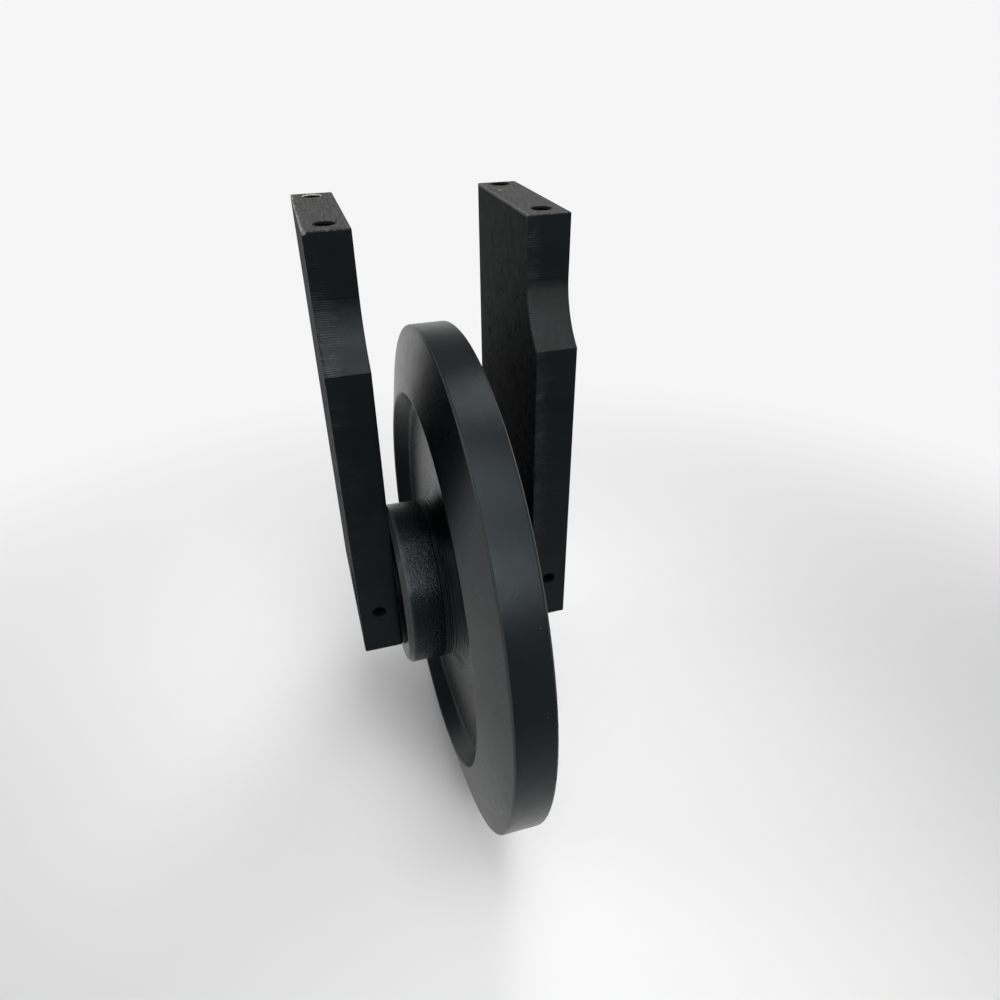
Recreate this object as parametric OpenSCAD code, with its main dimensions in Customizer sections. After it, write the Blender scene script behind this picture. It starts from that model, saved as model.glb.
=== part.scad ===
// Front idler of a small tracked excavator: a single-flange wheel that turns on
// a fixed axle between two flame-cut side plates. Millimetres, +Z up. The origin
// is the centre of the wheel, and the axle lies along Y. The plates rise from
// the axle to the bolted faces at the top, and their stepped edges face +X.
// "left" is the -Y side and "right" the +Y side.

/* [Wheel] */
// Diameter over the tread
wheel_d = 345; // [310:1:400]
// Width of the flat tread
tread_w = 24; // [16:0.5:34]
// Width of the flange where its tapered flanks end
flange_w = 42; // [36:0.5:56]
// Diameter of the side recess at its mouth
recess_d = 259; // [230:1:280]
// Draft of the recess wall, in degrees from the axle direction
recess_draft = 24; // [5:1:35]
// Thickness of the web
web_t = 16; // [10:0.5:24]
// Fillet between the recess wall and the web
recess_fillet = 4; // [1:0.5:10]
// Outside diameter of the hub
hub_d = 110; // [104:1:130]
// Length of the hub
hub_len = 90; // [84:1:120]
// Chamfer on the hub's ends
hub_chamfer = 3; // [1:0.5:5]
// Fillet between the hub and the web
hub_fillet = 12; // [4:0.5:20]
// Rounding of the tread and flank edges
edge_round = 1.5; // [0.5:0.25:3]

/* [Side plates] */
// Thickness of each plate
plate_t = 25; // [20:0.5:36]
// Clear gap between the hub's end and the plate
side_gap = 1.8; // [1:0.1:5]
// Axle centre to the lower front edge
axle_to_front = 26.5; // [24:0.5:40]
// Axle centre to the back edge
axle_to_back = 94; // [88:1:130]
// Axle centre to the bottom edge
axle_to_bottom = 33; // [26:1:60]
// Axle centre to the bolted top face
axle_to_top = 238.5; // [215:0.5:300]
// How far the upper front edge steps back
step_depth = 18; // [8:0.5:24]
// Axle centre to the sharp edge where the step begins
step_height = 168; // [130:1:175]
// Radius of the hollow above the step
step_radius = 45; // [30:1:48]

/* [Yoke bolts] */
// Distance between the two tapped holes in a top face
bolt_spacing = 80; // [60:1:84]
// Distance from the axle's plane back to the front hole
bolt_setback = 6; // [2:0.5:14]
// Core diameter of the tapped hole
bolt_core_d = 10.3; // [6.8:0.1:12]
// Depth of the tapped hole
bolt_depth = 32; // [16:1:60]
// Width of the countersink at the hole's mouth
bolt_csk = 0.9; // [0.3:0.1:1.2]

/* [Axle and lock pins] */
// Diameter of the axle
axle_d = 35; // [30:1:40]
// How far the axle's ends lie below the plates' outer faces
axle_inset = 1; // [0.5:0.5:4]
// Chamfer on the axle's ends
axle_chamfer = 1.5; // [0.5:0.5:4]
// Mouth of the lathe centre in each end of the axle
centre_d = 7; // [3:0.5:12]
// Diameter of the slotted spring pin
pin_d = 8; // [5:0.5:10]
// Wall of the spring pin
pin_wall = 1.6; // [1:0.1:2]
// Slot along the spring pin
pin_slot = 1.2; // [0.8:0.1:2]
// How far the pin is driven below the front edge
pin_recess = 2.5; // [1:0.5:6]
// How far the pin reaches into the plate behind the axle
pin_bite = 8; // [3:0.5:16]

/* [Bushes and seals] */
// Wall of the flanged bush
bush_wall = 3; // [2:0.25:4]
// Length of the bush in its seat
bush_len = 14.5; // [10:0.5:20]
// Width of the bush's flange beyond the bush
bush_rim = 5; // [3:0.5:6]
// Wall of the collar's sleeve on the axle
sleeve_wall = 5; // [3:0.5:6]
// Thickness of the collar's end against the plate
collar_end = 3.3; // [2:0.1:6]
// Wall around the collar's seal pocket
collar_wall = 8.5; // [4:0.5:9]
// Axial length of one metal seal ring
seal_len = 7.5; // [7:0.1:8]
// Thickness of the seal ring's tail
seal_tail = 2.1; // [1.5:0.1:3]
// Thickness of the seal ring's lapped face
seal_face = 2.5; // [1.5:0.1:3]
// Cord diameter of the rubber torics
toric_cord = 5.8; // [5:0.1:6.2]
// Cord diameter of the static rings on the axle
o_ring_cord = 2.4; // [2:0.1:3.2]
// Spare width of the grooves that hold them
groove_play = 1; // [0.5:0.1:2]

/* [Oil plug] */
// Diameter of the headless screw plug
plug_d = 10; // [8:0.5:12]
// Length of the plug
plug_len = 9; // [6:0.5:12]
// How far the plug lies below the hub's face
plug_recess = 0.6; // [0.3:0.1:2]
// Hexagon socket of the plug, across flats
plug_hex = 5; // [3:0.5:6]
// Drilled oil way behind the plug
oil_way_d = 5; // [3:0.5:6]
// Lean of the oil way, in degrees from the radius
oil_way_lean = 34; // [28:1:38]

/* [Fits] */
// Radial clearance between the turning bush and the axle
running_gap = 0.05; // [0.02:0.01:0.1]
// Gap on each side of pieces that are pressed or seated together
seat_gap = 0.03; // [0.02:0.01:0.1]
// Axial play between the bush flange and the collar
thrust_gap = 0.4; // [0.3:0.05:1]
// Gap between the turning hub and the collar inside it
nest_gap = 0.9; // [0.5:0.1:1.5]
// Gap between the seal ring and the collar's sleeve
seal_bore_gap = 2; // [1:0.1:3]
// Gap behind the seal ring's tail
seal_tail_gap = 1.5; // [1:0.1:2]

/* [Hidden] */
$fn = 96;
round_steps = 8;
cut = 1;

// Radii, from the axle outwards
wheel_r = wheel_d / 2;
recess_r = recess_d / 2;
hub_r = hub_d / 2;
axle_r = axle_d / 2;
bush_bore_r = axle_r + running_gap;
bush_r = axle_r + bush_wall;
bush_seat_r = bush_r + seat_gap;
bush_rim_r = bush_r + bush_rim;
collar_bore_r = axle_r + seat_gap;
sleeve_r = collar_bore_r + sleeve_wall;
seal_bore_r = sleeve_r + seal_bore_gap;
seal_tail_r = seal_bore_r + seal_tail;
toric_mid_r = seal_tail_r + seat_gap + toric_cord / 2;
pocket_r = toric_mid_r + toric_cord / 2 + seat_gap;
seal_face_r = (toric_mid_r + pocket_r) / 2;
collar_r = pocket_r + collar_wall;
nest_r = collar_r + nest_gap;

// Places along the axle, from the middle of the wheel outwards
hub_end_y = hub_len / 2;
plate_in_y = hub_end_y + side_gap;
plate_mid_y = plate_in_y + plate_t / 2;
plate_out_y = plate_in_y + plate_t;
axle_end_y = plate_out_y - axle_inset;
collar_out_y = plate_in_y - seat_gap;
collar_floor_y = collar_out_y - collar_end;
seal_room = seal_len + seal_tail_gap + seat_gap;
seal_plane_y = collar_floor_y - seal_room;
pocket_floor_y = seal_plane_y - seal_room;
collar_lip_y = seal_plane_y + seal_face;
nest_floor_y = collar_lip_y - nest_gap;
sleeve_in_y = pocket_floor_y + thrust_gap;
bush_rim_t = bush_wall;
bush_rim_y = pocket_floor_y - bush_rim_t;
bush_in_y = bush_rim_y - bush_len;
chamber_y = bush_in_y - seat_gap;
chamber_r = bush_seat_r + bush_wall;
toric_off_floor = toric_cord / 2 + seat_gap;
o_ring_y = (sleeve_in_y + collar_out_y) / 2;
groove_r = collar_bore_r - o_ring_cord;
groove_w = o_ring_cord + groove_play;
centre_angle = 60;
centre_r = centre_d / 2;
centre_depth = centre_r / tan(centre_angle / 2);

// Places on the side plate, in the plane of the wheel
upper_front = axle_to_front - step_depth;
step_rise = sqrt(step_depth * (2 * step_radius - step_depth));
step_mid = [upper_front + step_radius, step_height + step_rise];
bolt_xs = [-bolt_setback, -bolt_setback - bolt_spacing];
bolt_core_r = bolt_core_d / 2;
pin_r = pin_d / 2;
pin_hole_r = pin_r + seat_gap;
pin_front = axle_to_front - pin_recess;
pin_back = -axle_r - pin_bite;
pin_hole_back = pin_back - seat_gap;
bore_chamfer = 1;
pin_chamfer = 0.6;

// The plug lies in a drilling that leans from the oil chamber to the hub's face
plug_r = plug_d / 2;
plug_hole_r = plug_r + seat_gap;
plug_down = plug_r * tan(oil_way_lean) + plug_recess;
plug_seat = plug_down + plug_len + seat_gap;
plug_y = (hub_r - chamber_r) * tan(oil_way_lean) + chamber_y / 2;
oil_way_len = (hub_r - chamber_r) / cos(oil_way_lean) + oil_way_d / 2;
plug_hex_depth = plug_len / 2;

left = -1;
right = 1;

// Points on an arc about mid, from angle a to angle b
function arc(mid, r, a, b) =
    [for (i = [0:round_steps]) let (t = a + (b - a) * i / round_steps) mid + r * [cos(t), sin(t)]];

function unit(v) = v / norm(v);

// The corner at p, between the points before and after it, rounded with radius r
function rounded_corner(before, p, after, r) =
    r == 0 ? [p] :
    let (
        u = unit(before - p),
        w = unit(after - p),
        half = acos(u * w) / 2,
        mid = p + unit(u + w) * r / sin(half),
        from = p + u * r / tan(half) - mid,
        to = p + w * r / tan(half) - mid,
        a = atan2(from[1], from[0]),
        turn = atan2(to[1], to[0]) - a,
        b = a + (turn > 180 ? turn - 360 : turn < -180 ? turn + 360 : turn)
    )
    arc(mid, r, a, b);

// A closed outline from corners written as [x, y, rounding]
function rounded_outline(corners) =
    let (n = len(corners), at = [for (c = corners) [c[0], c[1]]])
    [for (i = [0:n - 1])
        for (p = rounded_corner(at[(i + n - 1) % n], at[i], at[(i + 1) % n], corners[i][2])) p];

// A list in the other order
function reversed(list) = [for (i = [len(list) - 1:-1:0]) list[i]];

// A solid of revolution about the axle, from an outline of [radius, place along the axle]
module turned(outline) {
    rotate([-90, 0, 0])
        rotate_extrude()
            polygon(outline);
}

// One half of the wheel's section, from the tread to the oil chamber
function wheel_half(side) = [for (c = [
    [wheel_r, tread_w / 2, edge_round],
    [recess_r, flange_w / 2, edge_round],
    [recess_r - (flange_w - web_t) / 2 * tan(recess_draft), web_t / 2, recess_fillet],
    [hub_r, web_t / 2, hub_fillet],
    [hub_r, hub_end_y - hub_chamfer, 0],
    [hub_r - hub_chamfer, hub_end_y, 0],
    [nest_r, hub_end_y, 0],
    [nest_r, nest_floor_y, 0],
    [pocket_r, nest_floor_y, 0],
    [pocket_r, pocket_floor_y, 0],
    [bush_rim_r + seat_gap, pocket_floor_y, 0],
    [bush_rim_r + seat_gap, bush_rim_y, 0],
    [bush_seat_r, bush_rim_y, 0],
    [bush_seat_r, chamber_y, 0],
    [chamber_r, chamber_y, 0],
]) [c[0], side * c[1], c[2]]];

// Places its children on the oil way: their -Z points down the drilling
module on_oil_way() {
    translate([0, plug_y, hub_r])
        rotate([-oil_way_lean, 0, 0])
            children();
}

module idler_wheel() {
    color([0.10, 0.10, 0.11])
        difference() {
            turned(rounded_outline(concat(wheel_half(right), reversed(wheel_half(left)))));
            on_oil_way() {
                translate([0, 0, -plug_seat])
                    cylinder(r = plug_hole_r, h = plug_seat + plug_d);
                translate([0, 0, -oil_way_len])
                    cylinder(d = oil_way_d, h = oil_way_len);
            }
        }
}

// Headless plug with a hexagon socket
module oil_plug() {
    color([0.35, 0.35, 0.36])
        on_oil_way()
            translate([0, 0, -plug_down - plug_len])
                difference() {
                    cylinder(r = plug_r, h = plug_len);
                    translate([0, 0, plug_len - plug_hex_depth])
                        cylinder(r = plug_hex / sqrt(3), h = plug_hex_depth + cut, $fn = 6);
                }
}

// Flanged plain bush, pressed into the hub from outside
module bush(side) {
    color([0.70, 0.52, 0.25])
        turned([
            [bush_bore_r, side * bush_in_y],
            [bush_r, side * bush_in_y],
            [bush_r, side * (bush_rim_y + seat_gap)],
            [bush_rim_r, side * (bush_rim_y + seat_gap)],
            [bush_rim_r, side * pocket_floor_y],
            [bush_bore_r, side * pocket_floor_y],
        ]);
}

// Metal ring of the face seal; outward is 1 for the fixed ring and -1 for the turning one
module seal_ring(side, outward) {
    face_y = seal_plane_y + outward * seat_gap;
    color([0.55, 0.56, 0.58])
        turned([
            [seal_bore_r, side * face_y],
            [seal_face_r, side * face_y],
            [seal_face_r, side * (face_y + outward * seal_face)],
            [seal_tail_r, side * (face_y + outward * seal_face)],
            [seal_tail_r, side * (face_y + outward * seal_len)],
            [seal_bore_r, side * (face_y + outward * seal_len)],
        ]);
}

// Rubber ring that drives or holds a seal ring in its pocket
module toric(side, outward) {
    floor_y = outward > 0 ? collar_floor_y : pocket_floor_y;
    color([0.07, 0.07, 0.07])
        rotate([-90, 0, 0])
            rotate_extrude()
                translate([toric_mid_r, side * (floor_y - outward * toric_off_floor)])
                    circle(d = toric_cord);
}

// Collar on the axle that holds the fixed half of the seal and stands against the plate
module seal_collar(side) {
    color([0.62, 0.63, 0.65])
        turned([
            [collar_bore_r, side * sleeve_in_y],
            [sleeve_r, side * sleeve_in_y],
            [sleeve_r, side * collar_floor_y],
            [pocket_r, side * collar_floor_y],
            [pocket_r, side * collar_lip_y],
            [collar_r, side * collar_lip_y],
            [collar_r, side * collar_out_y],
            [collar_bore_r, side * collar_out_y],
        ]);
}

// Static seal between the axle and the collar
module axle_o_ring(side) {
    color([0.07, 0.07, 0.07])
        rotate([-90, 0, 0])
            rotate_extrude()
                translate([(groove_r + collar_bore_r) / 2, side * o_ring_y])
                    circle(d = o_ring_cord - 2 * seat_gap);
}

// One half of the axle's section, with the groove for the static seal and the lathe centre
function axle_half(side) = [for (p = [
    [axle_r, o_ring_y - groove_w / 2],
    [groove_r, o_ring_y - groove_w / 2],
    [groove_r, o_ring_y + groove_w / 2],
    [axle_r, o_ring_y + groove_w / 2],
    [axle_r, axle_end_y - axle_chamfer],
    [axle_r - axle_chamfer, axle_end_y],
    [centre_r, axle_end_y],
    [0, axle_end_y - centre_depth],
]) [p[0], side * p[1]]];

// The hole that a lock pin fills, from the plate's front edge to its blind end
module pin_hole(side) {
    translate([pin_hole_back, side * plate_mid_y, 0])
        rotate([0, 90, 0])
            cylinder(r = pin_hole_r, h = axle_to_front - pin_hole_back + cut);
}

module axle() {
    color([0.14, 0.14, 0.15])
        difference() {
            turned(concat(axle_half(right), reversed(axle_half(left))));
            pin_hole(left);
            pin_hole(right);
        }
}

// Slotted spring pin through the plate and the axle
module lock_pin(side) {
    length = pin_front - pin_back;
    color([0.30, 0.30, 0.31])
        translate([pin_back, side * plate_mid_y, 0])
            rotate([0, 90, 0])
                difference() {
                    rotate_extrude()
                        polygon([
                            [pin_r - pin_wall, 0],
                            [pin_r - pin_chamfer, 0],
                            [pin_r, pin_chamfer],
                            [pin_r, length - pin_chamfer],
                            [pin_r - pin_chamfer, length],
                            [pin_r - pin_wall, length],
                        ]);
                    translate([-pin_d, -pin_slot / 2, -cut])
                        cube([pin_d, pin_slot, length + 2 * cut]);
                }
}

// Outline of a side plate: a rectangle whose front edge steps back through a round hollow
module plate_outline() {
    difference() {
        translate([-axle_to_back, -axle_to_bottom])
            square([axle_to_back + axle_to_front, axle_to_bottom + axle_to_top]);
        translate(step_mid)
            circle(r = step_radius);
        translate([upper_front, step_mid[1]])
            square([step_depth + cut, axle_to_top - step_mid[1] + cut]);
    }
}

// Tapped hole with its countersink, down into the top face
module bolt_hole() {
    translate([0, 0, -bolt_depth])
        cylinder(r = bolt_core_r, h = bolt_depth + cut);
    translate([0, 0, -bolt_csk])
        cylinder(r1 = bolt_core_r, r2 = bolt_core_r + bolt_csk + cut, h = bolt_csk + cut);
}

// Bore for the axle, with a chamfer at the outer face where the axle is driven in
module axle_bore(side) {
    turned([
        [0, side * (plate_in_y - cut)],
        [collar_bore_r, side * (plate_in_y - cut)],
        [collar_bore_r, side * (plate_out_y - bore_chamfer)],
        [collar_bore_r + bore_chamfer + cut, side * (plate_out_y + cut)],
        [0, side * (plate_out_y + cut)],
    ]);
}

module bracket(side) {
    color([0.09, 0.09, 0.10])
        difference() {
            translate([0, side * plate_mid_y + plate_t / 2, 0])
                rotate([90, 0, 0])
                    linear_extrude(plate_t)
                        plate_outline();
            axle_bore(side);
            pin_hole(side);
            for (x = bolt_xs)
                translate([x, side * plate_mid_y, axle_to_top])
                    bolt_hole();
        }
}

idler_wheel();
bush(left);  // left_bush
bush(right);  // right_bush
seal_ring(left, -1);  // left_turning_seal_ring
seal_ring(right, -1);  // right_turning_seal_ring
toric(left, -1);  // left_turning_toric
toric(right, -1);  // right_turning_toric
oil_plug();
bracket(left);  // left_bracket
bracket(right);  // right_bracket
axle();
lock_pin(left);  // left_lock_pin
lock_pin(right);  // right_lock_pin
seal_collar(left);  // left_seal_collar
seal_collar(right);  // right_seal_collar
seal_ring(left, 1);  // left_fixed_seal_ring
seal_ring(right, 1);  // right_fixed_seal_ring
toric(left, 1);  // left_fixed_toric
toric(right, 1);  // right_fixed_toric
axle_o_ring(left);  // left_axle_o_ring
axle_o_ring(right);  // right_axle_o_ring
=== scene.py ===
"""Looks of a front idler: painted wheel and flame-cut side plates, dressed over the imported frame."""

import bpy
import numpy as np
from mathutils import Matrix, Vector


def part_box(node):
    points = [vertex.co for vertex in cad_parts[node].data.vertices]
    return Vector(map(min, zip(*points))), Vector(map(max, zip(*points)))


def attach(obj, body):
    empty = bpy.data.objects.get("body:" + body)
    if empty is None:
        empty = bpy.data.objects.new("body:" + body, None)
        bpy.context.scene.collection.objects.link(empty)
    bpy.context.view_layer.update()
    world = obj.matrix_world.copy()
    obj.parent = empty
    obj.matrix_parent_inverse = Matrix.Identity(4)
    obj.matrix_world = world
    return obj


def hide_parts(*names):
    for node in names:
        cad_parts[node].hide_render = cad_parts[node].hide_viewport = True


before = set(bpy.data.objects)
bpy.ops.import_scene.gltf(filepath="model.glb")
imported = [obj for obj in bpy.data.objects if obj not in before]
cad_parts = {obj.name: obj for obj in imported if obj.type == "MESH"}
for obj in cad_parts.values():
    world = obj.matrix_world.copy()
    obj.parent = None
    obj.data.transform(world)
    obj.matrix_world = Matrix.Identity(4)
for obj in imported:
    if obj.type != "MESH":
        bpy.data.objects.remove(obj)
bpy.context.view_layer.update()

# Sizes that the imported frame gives, in metres
MM = 0.001
wheel_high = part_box("idler_wheel")[1]
plate_low, plate_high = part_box("right_bracket")
collar_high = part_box("right_seal_collar")[1]
plug_low, plug_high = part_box("oil_plug")
WHEEL_R = wheel_high.x
HUB_END = wheel_high.y
PLATE_FRONT = plate_high.x
PLATE_BACK = plate_low.x
PLATE_TOP = plate_high.z
PLATE_BOTTOM = plate_low.z
PLATE_IN = plate_low.y
PLATE_OUT = plate_high.y
PLATE_MID = (PLATE_IN + PLATE_OUT) / 2
PLATE_T = PLATE_OUT - PLATE_IN
COLLAR_R = collar_high.x
FLOOR_Z = -WHEEL_R

# Wheel, after the part's source, in metres
TREAD_W = 24 * MM
FLANGE_W = 42 * MM
RECESS_R = 129.5 * MM
RECESS_FOOT_R = 123.7 * MM
RECESS_FILLET = 4 * MM
WEB_T = 16 * MM
HUB_R = 55 * MM
HUB_CHAMFER = 3 * MM
HUB_FILLET = 12 * MM
EDGE_ROUND = 1.5 * MM
NEST_R = COLLAR_R + 0.9 * MM
NEST_FLOOR = 36 * MM
POCKET_R = 32.5 * MM
POCKET_FLOOR = 25.4 * MM
BUSH_SEAT_R = 20.53 * MM
BUSH_RIM_R = 25.53 * MM
BUSH_RIM_T = 3 * MM
CHAMBER_R = 23.5 * MM
CHAMBER_HALF = 7.9 * MM
OIL_HOLE_R = 5.03 * MM

# Side plates, after the part's source, in metres
AXLE_BORE_R = 17.53 * MM
STEP_DEPTH = 18 * MM
STEP_HEIGHT = 168 * MM
STEP_RADIUS = 45 * MM
STEP_RISE = np.sqrt(STEP_DEPTH * (2 * STEP_RADIUS - STEP_DEPTH))
STEP_TOP = STEP_HEIGHT + STEP_RISE
UPPER_FRONT = PLATE_FRONT - STEP_DEPTH
BOLT_XS = (-6 * MM, -86 * MM)
BOLT_CORE_R = 5.15 * MM
BOLT_DEPTH = 32 * MM
PIN_HOLE_R = 4.05 * MM
PIN_HOLE_END = -25.6 * MM

# Small forms of the wheel that the solids leave out, in metres
HUB_ROUND = 1.2 * MM
HUB_STEP = 0.5 * MM
HUB_STEP_PLACE = 20.6 * MM
SMALL_ROUND = 0.3 * MM
FOOT_GROOVE_R = 120.3 * MM
FOOT_GROOVE_W = 1.1 * MM
FOOT_GROOVE_DEPTH = 0.5 * MM
GROOVE_LIP_ROUND = 0.1 * MM
GROOVE_FLOOR_ROUND = 0.15 * MM

# Nicks in the tread's right edge: turn in degrees and size in metres, and the cutter's reach in sizes
NICKS = ((14.0, 0.7 * MM), (12.3, 0.6 * MM), (10.2, 1.2 * MM), (-3.5, 1.0 * MM))
NICK_DRAWN_IN = 0.35 * MM
NICK_REACH = 3

# Where the wheel's zones fade, in metres
EDGE_FADE = 1.1 * MM
CAST_FADE = 60 * MM
FOOT_FADE = 6 * MM
WEB_FADE = 16 * MM
GROOVE_FADE = 2 * MM
SKIN_FADE = 4 * MM

# Side of the hub where its skin is worn smooth: share, and turn and spread in degrees
WORN_SHARE = 0.75
WORN_TURN = -40
WORN_SPREAD = 38

# Small forms of the plates that the solids leave out, in metres
PLATE_CORNER = 0.9 * MM
HOLLOW_LIP = 0.5 * MM
BURR_ROUND = 0.5 * MM
BOLT_THREAD_R = 6 * MM
BOLT_PITCH = 1.75 * MM
MOUTH_DEPTH = 0.8 * MM
MOUTH_WIDER = 0.45 * MM
BARE_CONE = 1.1 * MM
BARE_DEPTH = 1.0 * MM
PIN_MOUTH_DEPTH = 0.5 * MM
PIN_MOUTH_WIDER = 1.2 * MM

# Shape of the thread's section, as shares of its depth
THREAD_SLOPE = 1.6
THREAD_ROOT = 0.3

# Ends of the holes' cutters, from the plug's middle or outside the plate's faces, in metres
OIL_CUTTER_IN = -4.6 * MM
OIL_CUTTER_OUT = 20 * MM
BOLT_CUTTER_OUT = 1.2 * MM
PIN_CUTTER_OUT = 1 * MM

# Where painted shade starts in the tapped holes, below the top face, in metres
SHADE_FROM = 0.6 * MM
SHADE_RAMP = 1 * MM

# How near to an edge a point of the plate's outline belongs to it, in metres
NEAR_EDGE = 0.1 * MM
NEAR_FRONT = 0.5 * MM
NEAR_TOP = 0.2 * MM
NEAR_HOLLOW = 0.05 * MM

# Sine of the bend past which the outline has a corner
CORNER_BEND = 0.3

# Wear of the plates' edges, corners and top rims, in metres
EDGE_WEAR = 0.8 * MM
CORNER_WEAR = 0.7 * MM
RIM_WEAR = 0.7 * MM
RIM_SPREAD = 0.5 * MM
RIM_LENGTH = 5 * MM

# Marks of the cutting flame on the plates' edges, in metres
FRONT_PITCH = 1.25 * MM
OTHER_PITCH = 1.7 * MM
DRAG_DEPTH = 0.23 * MM
WANDER_LENGTH = 9 * MM
PATCH_LENGTH = 6 * MM
SWELL_DEPTH = 0.05 * MM
SWELL_LENGTH = 14 * MM
RAGGED_DEPTH = 0.9 * MM
RAGGED_LENGTH = 1.3 * MM
RESTART_DEPTH = 0.35 * MM
RESTART_RAMP = 0.9 * MM
# Ramp of the hollow's dust with painted sheen, down from its top
DUST_AND_SHEEN_RAMP = 9 * MM

# Shape of the flame's marks, as shares of a line's pitch, length or depth, or of the plate's thickness
DRAG_ARCH = 0.9
DRAG_WANDER = 0.35
DRAG_START = 0.1
DRAG_FAINTEST = 0.1
LENGTH_SPREAD = 0.55
DEPTH_MEAN = 0.75
DEPTH_SPREAD = 0.35
PATCH_SPREAD = 0.3
WAVE_MEAN = 0.6
GROOVE_SHARPNESS = 1.3
RAGGED_LEVEL = 0.2
RAGGED_SHARE = 0.06

# Seeds of the random heights
WANDER_SEED = 3
SWELL_SEED = 5
PATCH_SEED = 11
RAGGED_SEED = 17
RIM_SEED = 23
LENGTH_SEED = 29
DEPTH_SEED = 31
RANDOM_HEIGHTS = 4096

# How the left plate (-1) and the right plate (1) differ, as shares, among them the hollow's dust with painted
# sheen and the painted highlight on the drag lines' crests
PLATE_LOOKS = {
    -1: {"restart": 1.0, "dust_and_sheen": 0.4, "hollow_crest": 1.0, "other_crest_highlight": 0.08, "drag": 0.45, "bare": 0.8},
    1: {"restart": 0.3, "dust_and_sheen": 1.0, "hollow_crest": 0.3, "other_crest_highlight": 0.35, "drag": 0.3, "bare": 0.25},
}

# How finely the pieces are drawn: longest steps in metres, and numbers of steps
FLANK_STEP = 6 * MM
WEB_STEP = 4 * MM
WHEEL_SNUG = 0.25 * MM
WHEEL_TURNS = 360
FRONT_STEP = 0.25 * MM
OTHER_STEP = 0.4 * MM
TOP_STEP = 2.5 * MM
PLATE_SNUG = 0.1 * MM
HOLLOW_POINTS = 169
CUT_ROWS = 16
CUT_ROWS_CROWD = 1.6
BEND_STEPS = 5
FACE_ROWS = (0.006, 0.015, 0.04, 0.12, 0.5, 1)
TINY_ROUND = 0.4 * MM
TINY_STEPS = 3
ROUND_STEPS = 7
CORNER_STEPS = 5
HOLE_TURNS = 48
PIN_TURNS = 40
NICK_TURNS = 10
THREAD_STEPS = 6

# Colours of the wheel's paint
WHEEL_DARK = (0.0013, 0.0019, 0.0023)
WHEEL_LIGHT = (0.0022, 0.003, 0.0035)
# Dust with painted sheen on the recess's ground
WEB_DUST_AND_SHEEN = (0.024, 0.0238, 0.0236)
# Thin paint on the rounds, lighter also as a painted highlight along the edges
THIN_EDGE_AND_HIGHLIGHT = (0.06, 0.06, 0.061)
WHEEL_RUBBED = (0.1, 0.1, 0.1)
CHIP_GREY = (0.08, 0.077, 0.072)
NICK_BLACK = (0.001, 0.001, 0.001)

# Colours of the plates' paint
PLATE_DARK = (0.001, 0.0015, 0.0019)
PLATE_LIGHT = (0.0026, 0.0033, 0.0038)
PIT_BLACK = (0.001, 0.001, 0.001)
FACE_FILM = (0.013, 0.0128, 0.0125)
# Dust in the hollow, lighter also as a painted sheen where its curve faces up
HOLLOW_DUST_AND_SHEEN = (0.0175, 0.0171, 0.0168)
# Painted highlight on the crests of the flame's drag lines
CREST_HIGHLIGHT = (0.074, 0.076, 0.077)
# Painted shade in the drag lines' grooves and the ragged notches
GROOVE_SHADE = (0.001, 0.0013, 0.0015)
MILLED_DARK = (0.005, 0.005, 0.005)
# Light speckle of the thin paint on the milled top, raised also as a painted sheen
MILLED_LIGHT_AND_SHEEN = (0.066, 0.065, 0.063)
PLATE_RUBBED = (0.07, 0.07, 0.07)
BARE_STEEL = (0.3, 0.29, 0.275)
# Painted shade inside the tapped holes
HOLE_SHADE = (0.0005, 0.0005, 0.0005)

# Spots on the plates where the paint is off: middle, size and colour
LEFT_CORNER = (UPPER_FRONT, -PLATE_OUT + 0.8 * MM, PLATE_TOP - 0.5 * MM)
RUBBED_SPOTS = (
    ((-66 * MM, 53.4 * MM, PLATE_TOP), 2.0 * MM, (0.17, 0.12, 0.08)),
    (LEFT_CORNER, 1.7 * MM, (0.12, 0.118, 0.115)),
)

# Chips in the wheel's paint, and the reach of the pits on the plates' faces, in metres
CHIP_SPACING = 9 * MM
PITS_BACK = -90 * MM
PITS_FRONT = 20 * MM
PITS_TOP = 235 * MM
PITS_LOW = 140 * MM

# Roughness that each place has more than the paint around it
NICK_DULL = 0.6
ROLLED_DULL = 0.34
MILLED_DULL = 0.35
PIT_DULL = 0.35
HOLE_DULL = 0.5

# Share of the painted shade in a full groove
GROOVE_SHADE_SHARE = 0.85

# Shine of the paint, and its tint
WHEEL_SHINE = 0.145
PLATE_SHINE = 0.1
BLUE_SHINE = (0.82, 0.95, 1.0, 1.0)

# Colours of the rubber
RUBBER_DARK = (0.012, 0.012, 0.012)
RUBBER_LIGHT = (0.02, 0.02, 0.021)

# Turned metal: spread of its roughness, and the black paint with painted shade on the collars from a place
# along the axle
TURNED_SPREAD = 0.07
BLACK_PAINT_AND_SHADE = (0.004, 0.004, 0.0042)
COLLAR_PAINT_AND_SHADE_FROM = HUB_END - 1 * MM
PAINT_AND_SHADE_RAMP = 0.4 * MM

# The stage, in metres and as brightness
FLOOR_HALF = 12.0
FLOOR_GREY = (0.75, 0.75, 0.75)
FLOOR_ROUGHNESS = 0.9
FLOOR_SHINE = 0.1
FADE_CENTRE_X = 0.2
FADE_START = 0.35
FADE_END = 0.95
WHITE = 0.92
CEILING = 0.36
WALL_TOP = 0.06
CEILING_FROM = 0.3
PURE_WHITE = (1, 1, 1, 1)

# The camera: place in metres, angles in degrees, and sensor and lens in millimetres
CAMERA_AT = (0.39138, -0.0829, 0.32128)
CAMERA_ANGLES = (73.6, 33.206, 0.5)
SENSOR_W = 36
LENS = 25.84
NEAR_CLIP = 0.01


def unit(v):
    """A vector divided by its length."""
    return v / np.linalg.norm(v)


def s_curve(x):
    """Ramp from none to one with level ends: three squares less two cubes."""
    x = np.clip(x, 0, 1)
    return x * x * (3 - 2 * x)


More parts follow.
